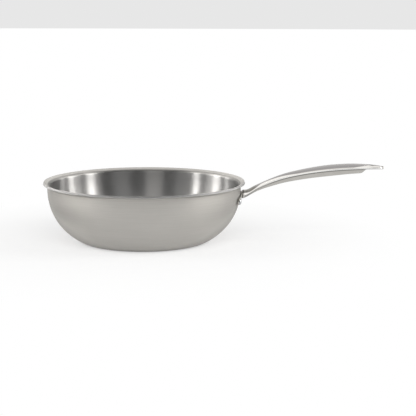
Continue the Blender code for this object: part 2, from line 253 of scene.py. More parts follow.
# Steps in the finishes: the two levels, and between where and where one eases into the other.
# The first two go by the angle of view, the last by its mark, and the rest by place. All but the
# lip's two steps make or shape painted shade: on the outside where it slants from view, along its
# outline and at its foot, inside at the bowl's two ends, and on the slot's far wall. The lip's two
# mark the inside's lip, its bend and its rim.
SLANT_SHADE_STEP = (0.0, 0.36, 0.10, 0.60)
OUTLINE_SHADE_STEP = (0.0, 0.34, 0.50, 0.92)
UPPER_WALL_STEP = (0.25, 1.0, 0.028, 0.056)
HANDLE_SIDE_STEP = (1.0, 0.72, 0.03, 0.12)
UNDER_LIP_STEP = (0.0, 0.7, 0.072, 0.079)
MIDDLE_STEP = (1.0, 0.0, 0.035, 0.075)
FOOT_SHADE_STEP = (0.42, 0.0, 0.0004, 0.0040)
INNER_END_SHADE_STEP = (0.0, 0.55, 0.123, 0.133)
LIP_STEP = (0.0, 1.0, WALL_RADIUS - WALL, WALL_RADIUS - WALL + 0.0003)
LIP_RIM_STEP = (0.0, 1.0, WALL_RADIUS - WALL + 0.0014, WALL_RADIUS - WALL + 0.0030)
SLOT_SHADE_STEP = (0.0, 1.0, 0.5, 0.95)

# Floor: how far its white shows to the camera and in the metal, as two levels and the
# distances from the axis between which one goes into the other
FLOOR_RADIUS = 30.0
FLOOR_POINTS = 64
FAR_FLOOR = (0.58, 1.0, 0.11, 0.38)
FLOOR_BY_BASE = (0.1, 1.0, BASE_RADIUS - 0.004, 0.096)

# Backdrop above the far edge of the floor, and the light for all rays that don't show it
BACKDROP = (0.8, 0.8, 0.8, 1.0)
PLAIN_LIGHT = (1.0, 0.995, 0.985, 1.0)
PLAIN_LIGHT_LEVEL = 0.42

# Room above the floor, by the direction from the pan, with steps as for the finishes
ROOM_RADIUS = 4.0
ROOM_SEGMENTS = 96
ROOM_RINGS = 48
SWEEP_TOP = math.radians(2)
ARCH_AXIS = 0.985
SIDES_STEP = (0.062, 0.74, 28.5, 32.5)
LOW_GLOW_STEP = (1.7, 1.0, 0.12, 0.45)
LAMP_TOP_LEAN = 0.6
LAMP_TOP_STEP = (1.0, 0.0, 0.60, 0.85)
CEILING_LEVEL = 1.0
CEILING_STEP = (0.0, 1.0, 0.80, 0.92)
BACK_LEVEL_STEP = (0.30, 0.95, 0.10, 0.20)
BACK_STEP = (0.0, 1.0, 0.30, 0.60)
ENDS_STEP = (0.0, 1.0, 0.45, 0.60)
WARM_STEP = (0.0, 1.0, 0.1, 0.6)

# Strip lamps in the room: bearing, half width and fade in degrees, and brightness
STRIP_LAMPS = (
    (37.8, 2.0, 1.6, 5.0), (55.0, 1.6, 1.6, 5.2), (51.0, 2.5, 4.0, 1.5), (15.5, 2.5, 4.0, 0.28),
    (-4.5, 3.5, 4.0, 0.58), (-23.0, 2.5, 3.0, 0.34), (-29.0, 2.0, 2.5, 0.42),
    (31.5, 1.0, 2.0, 0.15), (-33.8, 1.2, 1.5, 4.8), (-51.0, 2.4, 1.8, 5.2),
    (-46.0, 2.5, 4.0, 1.4),
)
END_LAMPS = ((-62.0, 1.3, 1.5, 3.0), (64.3, 1.2, 1.3, 2.2))

# Soft lamps: name, place, aim, width, height and brightness
SOFTBOXES = (
    ("key", (0.2, -1.6, 1.3), (0.05, 0.0, 0.0), 1.4, 1.0, 4.4),
    ("left", (-1.7, -0.3, 1.0), (0.0, 0.0, 0.0), 0.8, 0.8, 4.0),
    ("right", (1.7, -0.3, 1.0), (0.0, 0.0, 0.0), 0.8, 0.8, 6.2),
)

# Camera
CAMERA_PLACE = (0.0918, -1.57665, 0.31844)
CAMERA_AIM = (0.0918, 0.0, 0.0461)
CAMERA_ROLL = math.radians(0.19)
SENSOR_WIDTH = 36.0
FOCAL_PIXELS = 1103.9
PICTURE_PIXELS = 416
CAMERA_RANGE = 100.0


# ---------------------------------------------------------------- outlines

def spaced(start, stop, steps):
    """Evenly spaced values from start to stop, both included."""
    return [start + (stop - start) * step / steps for step in range(steps + 1)]


def smooth(x, knots):
    """Value at x of the smooth curve through the knots, level beyond the first and last."""
    if x <= knots[0][0]:
        return knots[0][1]
    if x >= knots[-1][0]:
        return knots[-1][1]
    slopes = [0.0] * len(knots)
    for i in range(1, len(knots) - 1):
        slopes[i] = (knots[i + 1][1] - knots[i - 1][1]) / (knots[i + 1][0] - knots[i - 1][0])
    for i, (right, value) in enumerate(knots[1:]):
        if x <= right:
            break
    left, before = knots[i]
    span = right - left
    part = (x - left) / span
    rest = 1 - part
    ends = before * rest * rest * (1 + 2 * part) + value * part * part * (3 - 2 * part)
    return ends + span * part * rest * (slopes[i] * rest - slopes[i + 1] * part)


def eased(x, start, stop):
    """0 at start, 1 at stop and a smooth step between."""
    part = max(0.0, min(1.0, (x - start) / (stop - start)))
    return part * part * (3 - 2 * part)


def round_end(part):
    """How much of a quarter circle's height is left at this part of its length."""
    return math.sqrt(max(0.0, 1 - part * part))


def half_section(depth, recess=0.0):
    """Radius and height of the face at a depth inside the outer face, from the axis to the lip."""
    rings = [(radius, depth) for radius in BASE_RINGS]
    for turn in spaced(0.0, CORNER_TURN, CORNER_STEPS):
        radius = CORNER_ARC - depth
        rings.append((BASE_RADIUS + radius * math.sin(turn), CORNER_ARC - radius * math.cos(turn)))
    for turn in spaced(CORNER_TURN, math.pi / 2, SIDE_STEPS)[1:]:
        radius = SIDE_ARC - depth
        rings.append((SIDE_CENTRE_RADIUS + radius * math.sin(turn),
                      SIDE_CENTRE_HEIGHT - radius * math.cos(turn)))
    for turn in spaced(0.0, LIP_TURN, LIP_STEPS):
        radius = LIP_ARC + depth
        rings.append((WALL_RADIUS + LIP_ARC - radius * math.cos(turn),
                      LIP_START + radius * math.sin(turn)))
    radius, height = rings[-1]
    land = LIP_LAND - recess
    rings.append((radius + land * math.sin(LIP_TURN), height + land * math.cos(LIP_TURN)))
    return rings


def wall_radius(height):
    """Radius of the pan's outer face at a height on its side."""
    below = SIDE_CENTRE_HEIGHT - height
    if below <= 0:
        return WALL_RADIUS
    return SIDE_CENTRE_RADIUS + math.sqrt(SIDE_ARC * SIDE_ARC - below * below)


ROOT_RADIUS = wall_radius(STRAP_MIDDLE)
RIVET_ANGLE = RIVET_REACH / wall_radius(RIVET_HEIGHT)


def side_height(along):
    """Height of the plate's top edge at a distance from the wall."""
    x = 0.0
    z = STRAP_MIDDLE + ROOT_LIFT
    slope = ROOT_SLOPE
    arcs = ((RISE_ARC, RISE_SLOPE), (-NECK_ARC, GRIP_SLOPE), (-GRIP_ARC, TIP_SLOPE))
    for arc, end_slope in arcs:
        next_x = x + arc * (math.sin(end_slope) - math.sin(slope))
        if along <= next_x:
            break
        z -= arc * (math.cos(end_slope) - math.cos(slope))
        x = next_x
        slope = end_slope
    here = math.asin(math.sin(slope) + (along - x) / arc)
    return z - arc * (math.cos(here) - math.cos(slope)) - smooth(along, EDGE_DROPS)


def half_width(along):
    """Half width of the plate at a distance from the wall."""
    into_end = (along - (HANDLE_REACH - OVAL_END)) / OVAL_END
    if into_end <= 0:
        return smooth(along, HALF_WIDTHS)
    return HALF_WIDTHS[-1][1] * round_end(min(1.0, into_end) ** (1 / OVAL_TAPER))


def half_loop(along):
    """One side of the handle's section, as Y and Z, from mid top to mid underside."""
    width = half_width(along)
    edge = side_height(along)
    tip = max(0.0, (along - (HANDLE_REACH - RIM_RADIUS)) / RIM_RADIUS)
    thick = PLATE_THICKNESS * max(TIP_LEAST_SHARE, round_end(tip))
    edge -= (PLATE_THICKNESS - thick) / 2
    crown = smooth(along, CROWN_RADII)

    def rise(y):
        """Height of the crowned top over its edge."""
        return (width * width - y * y) / (2 * crown)

    # Top and rim
    round_rim = min(RIM_RADIUS, RIM_SHARE * width, RIM_SHARE * thick)
    shoulder = width - RIM_SLOPE_WIDTH * round_rim
    loop = [(part * shoulder, edge + rise(part * shoulder)) for part in TOP_SHARES]
    loop += [
        (width - 0.5 * RIM_SLOPE_WIDTH * round_rim,
         edge + 0.5 * (rise(shoulder) - RIM_LEVELS[0] * thick)),
        (width - RIM_INSETS[0] * round_rim, edge - RIM_LEVELS[0] * thick),
        (width, edge - RIM_LEVELS[1] * thick),
        (width - RIM_INSETS[1] * round_rim, edge - RIM_LEVELS[2] * thick),
    ]

    # Web under the plate
    straight = WEB_END - WEB_END_ROUND
    left = round_end(max(0.0, min(1.0, (along - straight) / WEB_END_ROUND)))
    drop = (smooth(along, DEPTHS) - thick) * left if along < WEB_END else 0.0
    web = max(width - WEB_INSET, WEB_SHARE * width)
    foot = edge - thick - drop
    loop += [
        (0.5 * (web + width), edge - thick),
        (web, edge - thick - min(WEB_FILLET, drop / 3)),
        (web - WEB_DRAFT, foot + min(WEB_CHAMFER, drop / 3)),
        (web - WEB_CHAMFER, foot),
    ]

    # Hollow in the web
    near_end = min(along - HOLLOW_START, HOLLOW_END - along) / HOLLOW_ROUND
    scoop = round_end(1 - max(0.0, min(1.0, near_end)))
    bay = max(web - HOLLOW_WALL, HOLLOW_SHARE * width)
    roof = foot + (thick + drop - HOLLOW_ROOF + rise(0.5 * bay)) * scoop
    third = (roof - foot) / 3
    flat, inner = ROOF_SHARES
    loop += [
        (bay + HOLLOW_LEDGE * min(1.0, width / HOLLOW_LEDGE_WIDTH), foot),
        (bay, foot + min(HOLLOW_CHAMFER, third)),
        (bay - HOLLOW_DRAFT, roof - min(HOLLOW_FILLET, third)),
        (flat * bay, roof),
        (inner * bay, roof + ROOF_CROWN * (rise(inner * bay) - rise(bay)) * scoop),
        (0.0, roof + ROOF_CROWN * (rise(0.0) - rise(bay)) * scoop),
    ]
    return loop


# ---------------------------------------------------------------- hand tools

def start_fresh():
    """Select nothing, so that the next step works on its own piece."""
    bpy.ops.object.select_all(action="DESELECT")


def take(piece):
    """Select one piece and make it the active one."""
    start_fresh()
    piece.select_set(True)
    bpy.context.view_layer.objects.active = piece


def finish_mesh(piece, name, angle=SMOOTH_ANGLE):
    """Leave a piece at the origin with its place in its mesh, shaded smooth up to an angle."""
    piece.name = name
    piece.data.name = name
    take(piece)
    bpy.ops.object.transform_apply(location=True, rotation=True, scale=True)
    bpy.ops.object.shade_smooth_by_angle(angle=angle)
    return piece


def apply(piece, kind, name, **settings):
    """Add a modifier to a piece and apply it."""
    modifier = piece.modifiers.new(name, kind)
    for key, value in settings.items():
        setattr(modifier, key, value)
    take(piece)
    bpy.ops.object.modifier_apply(modifier=modifier.name)


def turned(name, rings, points):
    """A body raised ring by ring from its first ring, as on a spinning lathe, and closed."""
    start_fresh()
    radius, height = rings[0]
    bpy.ops.mesh.primitive_circle_add(vertices=points, radius=radius, location=(0, 0, height))
    piece = bpy.context.object
    bpy.ops.object.mode_set(mode="EDIT")
    for (before, low), (after, high) in zip(rings, rings[1:]):
        bpy.ops.mesh.extrude_edges_move(TRANSFORM_OT_translate={"value": (0, 0, high - low)})
        size = after / before
        bpy.ops.transform.resize(value=(size, size, 1), center_override=(0, 0, 0))
    bpy.ops.mesh.select_all(action="SELECT")
    bpy.ops.mesh.fill_holes(sides=0)
    bpy.ops.mesh.select_all(action="SELECT")
    bpy.ops.mesh.normals_make_consistent(inside=False)
    bpy.ops.object.mode_set(mode="OBJECT")
    return finish_mesh(piece, name)


def shaped_grid(name, across, along, place):
    """A grid of faces whose points are set down where place puts them."""
    start_fresh()
    bpy.ops.mesh.primitive_grid_add(x_subdivisions=along, y_subdivisions=across, size=2)
    piece = bpy.context.object
    piece.name = name
    for vertex in piece.data.vertices:
        vertex.co = place((vertex.co.x + 1) / 2, (vertex.co.y + 1) / 2)
    return piece


def sew(piece):
    """Merge the seams of a grid, close its ends and turn its faces outwards."""
    take(piece)
    bpy.ops.object.mode_set(mode="EDIT")
    bpy.ops.mesh.select_all(action="SELECT")
    bpy.ops.mesh.remove_doubles(threshold=SEAM)
    bpy.ops.mesh.fill_holes(sides=0)
    bpy.ops.mesh.normals_make_consistent(inside=False)
    bpy.ops.object.mode_set(mode="OBJECT")
    return piece


# ---------------------------------------------------------------- pan and rivets

def clad_layer(name, outer_depth, inner_depth, recess=0.0):
    """One layer of the clad sheet, from the base up to the cut edge of the lip."""
    rings = half_section(outer_depth, recess) + half_section(inner_depth, recess)[::-1]
    return turned(name, rings, RING_POINTS)


def dome(radius, seat, rise, turns):
    """Rings of a rivet's head over its seat, by their turn from the rivet's axis."""
    return [(radius * math.sin(turn), seat + rise * math.cos(turn)) for turn in turns]


def rivet(name, side):
    """A solid rivet with a domed head on the strap and a flatter one inside the pan."""
    rings = dome(HEAD_RADIUS, HEAD_SEAT, HEAD_RISE,
                 spaced(HEAD_FIRST_TURN, math.pi / 2, HEAD_STEPS))
    rings += [
        (HEAD_RADIUS - HEAD_INSET, HEAD_SEAT - HEAD_EDGE),
        (SHANK_RADIUS, HEAD_SEAT - HEAD_EDGE),
        (SHANK_RADIUS, -INNER_SEAT + HEAD_EDGE),
        (INNER_HEAD_RADIUS - HEAD_INSET, -INNER_SEAT + HEAD_EDGE),
    ]
    rings += dome(INNER_HEAD_RADIUS, -INNER_SEAT, -INNER_HEAD_RISE,
                  spaced(math.pi / 2, HEAD_FIRST_TURN, HEAD_STEPS))
    piece = turned(name, rings, RIVET_POINTS)
    angle = side * RIVET_ANGLE
    radius = wall_radius(RIVET_HEIGHT)
    tilt = math.asin((SIDE_CENTRE_HEIGHT - RIVET_HEIGHT) / SIDE_ARC)
    axis = Vector((math.cos(tilt) * math.cos(angle), math.cos(tilt) * math.sin(angle),
                   -math.sin(tilt)))
    piece.rotation_euler = axis.to_track_quat("Z", "Y").to_euler()
    piece.location = (radius * math.cos(angle), radius * math.sin(angle), RIVET_HEIGHT)
    return finish_mesh(piece, name)


# ---------------------------------------------------------------- handle

def strap():
    """Curved strap that hugs the wall between the two rivets."""
    half = STRAP_HEIGHT / 2
    full = RIVET_REACH + half

    def place(u, v):
        """Point on the strap's inner face, u along it and v up it."""
        run = (2 * u - 1) * full
        up = 2 * v - 1
        past = max(0.0, (abs(run) - RIVET_REACH) / half)
        lift = (1 + math.cos(math.pi * min(1.0, abs(run) / RIVET_REACH))) / 2
        middle = RIVET_HEIGHT + (STRAP_MIDDLE - RIVET_HEIGHT) * lift
        height = middle + half * up * max(STRAP_END_SHARE, round_end(past))
        angle = run / wall_radius(RIVET_HEIGHT)
        radius = wall_radius(height) + STRAP_GAP
        return Vector((radius * math.cos(angle), radius * math.sin(angle), height))

    piece = shaped_grid("strap", *STRAP_GRID, place)
    apply(piece, "SOLIDIFY", "Thickness", thickness=STRAP_THICKNESS, offset=1.0)
    apply(piece, "SUBSURF", "Rounded edges", levels=2, render_levels=2)
    return piece


def slot_cutter():
    """Cutter for the hanging slot: two rounds of unlike size and their common tangents."""
    tip = ROOT_RADIUS + HANDLE_REACH
    wide = tip - SLOT_WIDE_FROM_TIP
    narrow = tip - SLOT_NARROW_FROM_TIP
    height = side_height(HANDLE_REACH - SLOT_WIDE_FROM_TIP)
    start_fresh()
    bpy.ops.mesh.primitive_cylinder_add(vertices=SLOT_POINTS, radius=SLOT_WIDE_RADIUS,
                                        depth=SLOT_CUT_HEIGHT, location=(wide, 0, height))
    cutter = bpy.context.object
    lean = (SLOT_WIDE_RADIUS - SLOT_NARROW_RADIUS) / (narrow - wide)
    size = SLOT_NARROW_RADIUS / SLOT_WIDE_RADIUS
    for vertex in cutter.data.vertices:
        if vertex.co.x > SLOT_WIDE_RADIUS * lean + SLOT_FLANK_GUARD:
            vertex.co.x = (narrow - wide) + vertex.co.x * size
            vertex.co.y *= size
    return finish_mesh(cutter, "slot_cutter")


def rim_light_and_shade(along, y, below):
    """How far a point of the handle lies in the painted highlight on its rim, and how far in the
    painted shade of the crease below, at the root and at the tip.
    """
    width = half_width(along)
    if y < 0 or along < WEB_END:
        band = min(smooth(along, TOP_BANDS), width - NEAR_MARGIN)
    else:
        band = width - FAR_MARGIN
    step = (STEP_LEVEL + STEP_DROP * eased(along, *STEP_DROP_GROWS)) * PLATE_THICKNESS
    rim = eased(abs(y), band - BAND_BLUR, band + BAND_BLUR)
    rim *= eased(below, step + STEP_BLUR, step)
    crease = eased(below, step, step + STEP_BLUR)
    crease *= eased(below, *(PLATE_THICKNESS + level for level in CREASE_FOOT))
    past_web = eased(along, *(WEB_END + ahead for ahead in WEB_END_GROWS))
    crease *= (1 - WEB_END_FADE * past_web) * eased(along, *CREASE_GROWS)
    crease *= 1 - NECK_FADE * eased(along, *NECK_FADE_GROWS) * eased(along, *NECK_FADE_ENDS)
    shade = eased(along, *ROOT_SHADE_GROWS)
    shade *= eased(abs(y), band + ROOT_SHADE_BLUR, band - BAND_BLUR)
    crease = max(crease, shade * eased(below, BAND_BLUR, 0.0))
    by_tip = eased(along, *(HANDLE_REACH + ahead for ahead in TIP_SHADE_GROWS))
    return rim, max(crease, TIP_SHADE * by_tip)


def slot_light_and_shade(along, y):
    """How far a point lies in the painted highlight on the hanging slot's near wall, and how far
    in the painted shade on its far wall.
    """
    wide = HANDLE_REACH - SLOT_WIDE_FROM_TIP
    narrow = HANDLE_REACH - SLOT_NARROW_FROM_TIP
    part = max(0.0, min(1.0, (along - wide) / (narrow - wide)))
    slot_round = SLOT_WIDE_RADIUS + (SLOT_NARROW_RADIUS - SLOT_WIDE_RADIUS) * part
    off_slot = math.hypot(along - (wide + (narrow - wide) * part), y) - slot_round
    in_slot = eased(off_slot, *SLOT_EDGE_GROWS)
    wall_in_shade = max(eased(along, *(wide + ahead for ahead in SLOT_START_GROWS)),
               eased(y, *SLOT_SIDE_GROWS))
    before_end = eased(along, *(narrow + ahead for ahead in SLOT_END_GROWS))
    return in_slot * (1 - wall_in_shade), in_slot * wall_in_shade * before_end


def mark_painted_light(piece):
    """Note on each point how far it lies in the painted highlight of the rim, the painted shade of
    the crease and the painted dark top, and in the painted shade of the slot's far wall.
    """
    piece.data.attributes.new("painted_light_zones", "FLOAT_COLOR", "POINT")
    piece.data.attributes.new("slot_wall_shade", "FLOAT", "POINT")
    painted_light_zones = piece.data.attributes["painted_light_zones"]
    walls = piece.data.attributes["slot_wall_shade"]
    for vertex, zone, wall in zip(piece.data.vertices, painted_light_zones.data, walls.data):
        along = max(0.0, vertex.co.x - ROOT_RADIUS)
        below = side_height(along) - vertex.co.z
        rim, crease = rim_light_and_shade(along, vertex.co.y, below)
        in_slot, wall.value = slot_light_and_shade(along, vertex.co.y)
        # The slot's near wall takes the rim's painted highlight
        rim = max(rim * (1 - crease), in_slot)
        top = (1 - rim) * (1 - eased(below, 0.0, BAND_BLUR))
        on_grip = eased(along, *GRIP_GROWS)
        zone.color = (rim * on_grip, crease * on_grip * (1 - in_slot), top * on_grip, 1.0)


def handle():
    """The cast handle: grip, web, neck and strap in one piece, with its slot."""
    stations = spaced(PLATE_START, HANDLE_REACH - TIP_LENGTH, STATIONS)
    stations += [HANDLE_REACH - TIP_TRIM - (TIP_LENGTH - TIP_TRIM) * (1 - math.sin(turn))
                 for turn in spaced(0.0, TIP_TURN, TIP_STATIONS)[1:]]
    loops = []
    for along in stations:
        side = half_loop(along)
        loops.append([(ROOT_RADIUS + along, y, z) for y, z in side]
                     + [(ROOT_RADIUS + along, -y, z) for y, z in side[-2:0:-1]])
    count = len(loops[0])

    def place(u, v):
        """Point on the handle, u along its loops and v round them."""
        return Vector(loops[round(u * (len(loops) - 1))][round(v * count) % count])

    piece = sew(shaped_grid("handle", count, len(loops) - 1, place))
    apply(piece, "SUBSURF", "Smooth", levels=2, render_levels=2)
    cutter = slot_cutter()
    root = strap()
    apply(piece, "BOOLEAN", "Join strap", operation="UNION", object=root, solver="EXACT")
    apply(piece, "BOOLEAN", "Cut slot", operation="DIFFERENCE", object=cutter, solver="EXACT")
    bpy.data.objects.remove(root)
    bpy.data.objects.remove(cutter)
    apply(piece, "BEVEL", "Eased edges", width=EASED_EDGE, segments=2, limit_method="ANGLE",
          angle_limit=EASED_ANGLE)
    finish_mesh(piece, "cast_handle", EASED_ANGLE)
    mark_painted_light(piece)
    return piece


# ---------------------------------------------------------------- finishes

def new_group(name, inputs, outputs):
    """An empty node group with named sockets."""
    group = bpy.data.node_groups.new(name, "ShaderNodeTree")
    for label, kind, value in inputs:
        socket = group.interface.new_socket(name=label, in_out="INPUT", socket_type=kind)
        socket.default_value = value
    for label, kind in outputs:
        group.interface.new_socket(name=label, in_out="OUTPUT", socket_type=kind)
    return group


def sums(tree, operation, first, second=None):
    """A Math node on values or sockets."""
    node = tree.nodes.new("ShaderNodeMath")
    node.operation = operation
    for slot, value in zip(node.inputs, (first, second)):
        if value is None:
            continue
        if isinstance(value, (int, float)):
            slot.default_value = value
        else:
            tree.links.new(value, slot)
    return node.outputs[0]


def parts_of(tree, vector):
    """The x, y and z of a vector socket."""
    node = tree.nodes.new("ShaderNodeSeparateXYZ")
    tree.links.new(vector, node.inputs[0])
    return node.outputs


def object_place(tree):
    """The Object coordinates of the piece."""
    return tree.nodes.new("ShaderNodeTexCoord").outputs["Object"]


def from_axis(tree, x, y):
    """Distance from the pan's axis."""
    square = sums(tree, "ADD", sums(tree, "MULTIPLY", x, x), sums(tree, "MULTIPLY", y, y))
    return sums(tree, "SQRT", square)


def noise(tree, place, **settings):
    """A noise node at a place, with values from 0 to 1."""
    node = tree.nodes.new("ShaderNodeTexNoise")
    for label, value in settings.items():
        node.inputs[label].default_value = value
    tree.links.new(place, node.inputs["Vector"])
    return node


def spread(tree, value, low, high, start=NOISE_RANGE[0], stop=NOISE_RANGE[1], way="LINEAR"):
    """A value that goes from low to high between start and stop, by default over a noise."""
    node = tree.nodes.new("ShaderNodeMapRange")
    node.interpolation_type = way
    node.inputs["From Min"].default_value = start
    node.inputs["From Max"].default_value = stop
    node.inputs["To Min"].default_value = low
    node.inputs["To Max"].default_value = high
    tree.links.new(value, node.inputs["Value"])
    return node.outputs[0]


def smooth_step(tree, value, low, high, start, stop):
    """A value that eases from low to high between start and stop."""
    return spread(tree, value, low, high, start, stop, "SMOOTHSTEP")


def blend_values(tree, part, first, second):
    """The first value where part is 0, the second where it is 1."""
    rest = sums(tree, "SUBTRACT", 1.0, part)
    return sums(tree, "ADD", sums(tree, "MULTIPLY", first, rest),
                sums(tree, "MULTIPLY", second, part))


def tinted(tree, value, dark, light):
    """A colour ramp between two tints over the range of a noise."""
    node = tree.nodes.new("ShaderNodeValToRGB")
    for element, position, tint in zip(node.color_ramp.elements, NOISE_RANGE, (dark, light)):
        element.position = position
        element.color = (*tint, 1.0)
    tree.links.new(value, node.inputs[0])
    return node.outputs[0]


def mixed_colours(tree, part, first, second):
    """The first colour where part is 0, the second where it is 1."""
    node = tree.nodes.new("ShaderNodeMix")
    node.data_type = "RGBA"
    tree.links.new(part, node.inputs["Factor"])
    for socket, value in zip((node.inputs[6], node.inputs[7]), (first, second)):
        if isinstance(value, tuple):
            socket.default_value = value
        else:
            tree.links.new(value, socket)
    return node.outputs[2]


def lathe_lines_group():
    """Fine lines round the axis: a value from 0 to 1 and a normal that follows it."""
    group = new_group(
        "lathe_lines",
        [("Lines per metre", "NodeSocketFloat", 2500.0), ("Breaks round", "NodeSocketFloat", 3.0),
         ("Depth", "NodeSocketFloat", 0.00001), ("Strength", "NodeSocketFloat", 0.3)],
        [("Value", "NodeSocketFloat"), ("Normal", "NodeSocketVector")])
    nodes, links = group.nodes, group.links
    given = nodes.new("NodeGroupInput")
    result = nodes.new("NodeGroupOutput")
    x, y, z = parts_of(group, object_place(group))
    radius = sums(group, "MAXIMUM", from_axis(group, x, y), LEAST_RADIUS)
    way = nodes.new("ShaderNodeCombineXYZ")
    for part, socket in ((x, way.inputs[0]), (y, way.inputs[1])):
        turn = sums(group, "DIVIDE", part, radius)
        links.new(sums(group, "MULTIPLY", turn, given.outputs["Breaks round"]), socket)
    run = sums(group, "ADD", radius, z)
    links.new(sums(group, "MULTIPLY", run, given.outputs["Lines per metre"]), way.inputs[2])
    grain = noise(group, way.outputs[0], Scale=1.0, Detail=3.0, Roughness=0.65)
    links.new(grain.outputs[0], result.inputs["Value"])
    bump = nodes.new("ShaderNodeBump")
    links.new(given.outputs["Strength"], bump.inputs["Strength"])
    links.new(given.outputs["Depth"], bump.inputs["Distance"])
    links.new(grain.outputs[0], bump.inputs["Height"])
    links.new(bump.outputs[0], result.inputs["Normal"])
    return group


def cut_edge_group():
    """Masks: 1 on the ground edge of the cut lip, on the lip, and on its rim past the bend."""
    group = new_group("cut_edge", [("Width", "NodeSocketFloat", CUT_EDGE)],
                      [("Cut", "NodeSocketFloat"), ("Lip", "NodeSocketFloat"),
                       ("Rim", "NodeSocketFloat")])
    nodes, links = group.nodes, group.links
    given = nodes.new("NodeGroupInput")
    result = nodes.new("NodeGroupOutput")
    x, y, z = parts_of(group, object_place(group))
    radius = from_axis(group, x, y)
    links.new(smooth_step(group, radius, *LIP_STEP), result.inputs["Lip"])
    links.new(smooth_step(group, radius, *LIP_RIM_STEP), result.inputs["Rim"])
    out = sums(group, "MULTIPLY", radius, math.sin(LIP_TURN))
    reach = sums(group, "ADD", out, sums(group, "MULTIPLY", z, math.cos(LIP_TURN)))
    lip_radius, lip_height = half_section(0.0)[-1]
    end = lip_radius * math.sin(LIP_TURN) + lip_height * math.cos(LIP_TURN)
    start = sums(group, "SUBTRACT", end, given.outputs["Width"])
    links.new(sums(group, "GREATER_THAN", reach, start), result.inputs["Cut"])
    return group


def handling_marks_group():
    """Soft uneven patches left by handling and wiping, as a value from 0 to 1."""
    group = new_group(
        "handling_marks",
        [("Size", "NodeSocketFloat", 25.0), ("Stretch", "NodeSocketVector", (1.0, 1.0, 1.0))],
        [("Value", "NodeSocketFloat")])
    nodes, links = group.nodes, group.links
    given = nodes.new("NodeGroupInput")
    result = nodes.new("NodeGroupOutput")
    scale = nodes.new("ShaderNodeVectorMath")
    scale.operation = "MULTIPLY"
    links.new(object_place(group), scale.inputs[0])
    links.new(given.outputs["Stretch"], scale.inputs[1])
    patches = noise(group, scale.outputs[0], Detail=4.0, Roughness=0.55)
    links.new(given.outputs["Size"], patches.inputs["Scale"])
    links.new(patches.outputs[0], result.inputs["Value"])
    return group


def placed(tree, group, **values):
    """A node group in a material, with its own values."""
    node = tree.nodes.new("ShaderNodeGroup")
    node.node_tree = group
    for label, value in values.items():
        node.inputs[label.replace("_", " ")].default_value = value
    return node


def shared(tree, first, second, share, rest):
    """The sum of two values, each times its share."""
    return sums(tree, "ADD", sums(tree, "MULTIPLY", first, share),
                sums(tree, "MULTIPLY", second, rest))


def new_finish(name, anisotropic=0.0):
    """A metal Principled material, with the tangent of a turned surface if it is brushed."""
    material = bpy.data.materials.new(name)
    material.use_nodes = True
    tree = material.node_tree
    shader = tree.nodes["Principled BSDF"]
    shader.inputs["Metallic"].default_value = 1.0
    if anisotropic:
        shader.inputs["Anisotropic"].default_value = anisotropic
        shader.inputs["Anisotropic Rotation"].default_value = 0.25
        tangent = tree.nodes.new("ShaderNodeTangent")
        tangent.direction_type = "RADIAL"
        tangent.axis = "Z"
        tree.links.new(tangent.outputs[0], shader.inputs["Tangent"])
    return material, tree, shader


def satin_outside():
    """Satin sheet outside, with painted shade at its foot, along its outline and where it slants
    away high on the wall.
    """
    material, tree, shader = new_finish("satin_outside", 0.5)
    lines = placed(tree, LATHE_LINES, Lines_per_metre=1900.0, Breaks_round=2.5, Depth=0.00002,
                   Strength=0.35)
    marks = placed(tree, HANDLING_MARKS, Size=22.0)
    mixed = shared(tree, lines.outputs["Value"], marks.outputs["Value"], LINE_SHARE, MARK_SHARE)
    cut = placed(tree, CUT_EDGE_MASK).outputs["Cut"]
    x, _, z = parts_of(tree, object_place(tree))
    aside = sums(tree, "ABSOLUTE", x)
    slant = tree.nodes.new("ShaderNodeLayerWeight")
    slant.inputs["Blend"].default_value = 0.5
    under_lip = sums(tree, "MULTIPLY", smooth_step(tree, z, *UNDER_LIP_STEP),
                     smooth_step(tree, aside, *MIDDLE_STEP))
    upper = sums(tree, "MULTIPLY", smooth_step(tree, z, *UPPER_WALL_STEP),
                 smooth_step(tree, x, *HANDLE_SIDE_STEP))
    upper = sums(tree, "MULTIPLY", upper, sums(tree, "SUBTRACT", 1.0, under_lip))
    # Painted shade where the wall slants from view, mostly high on it, less towards the handle and
    # under the lip's middle, then along the outline and at the foot
    shade = smooth_step(tree, slant.outputs["Facing"], *SLANT_SHADE_STEP)
    shade = sums(tree, "MULTIPLY", shade, upper)
    outline = smooth_step(tree, slant.outputs["Facing"], *OUTLINE_SHADE_STEP)
    shade = sums(tree, "MAXIMUM", shade, outline)
    shade = sums(tree, "MAXIMUM", shade, smooth_step(tree, z, *FOOT_SHADE_STEP))
    tone = tinted(tree, mixed, *SATIN_TINTS)
    tone = mixed_colours(tree, shade, tone, BLACK)
    # The ground cut edge takes its own tone, lightened as a painted highlight
    tree.links.new(mixed_colours(tree, cut, tone, CUT_EDGE_TONE_AND_HIGHLIGHT), shader.inputs["Base Color"])
    rough = blend_values(tree, cut, spread(tree, mixed, *SATIN_ROUGHNESS), EDGE_ROUGHNESS)
    tree.links.new(rough, shader.inputs["Roughness"])
    shader.inputs["Metallic"].default_value = SATIN_METAL
    shader.inputs["Specular IOR Level"].default_value = 0.25
    tree.links.new(lines.outputs["Normal"], shader.inputs["Normal"])
    return material


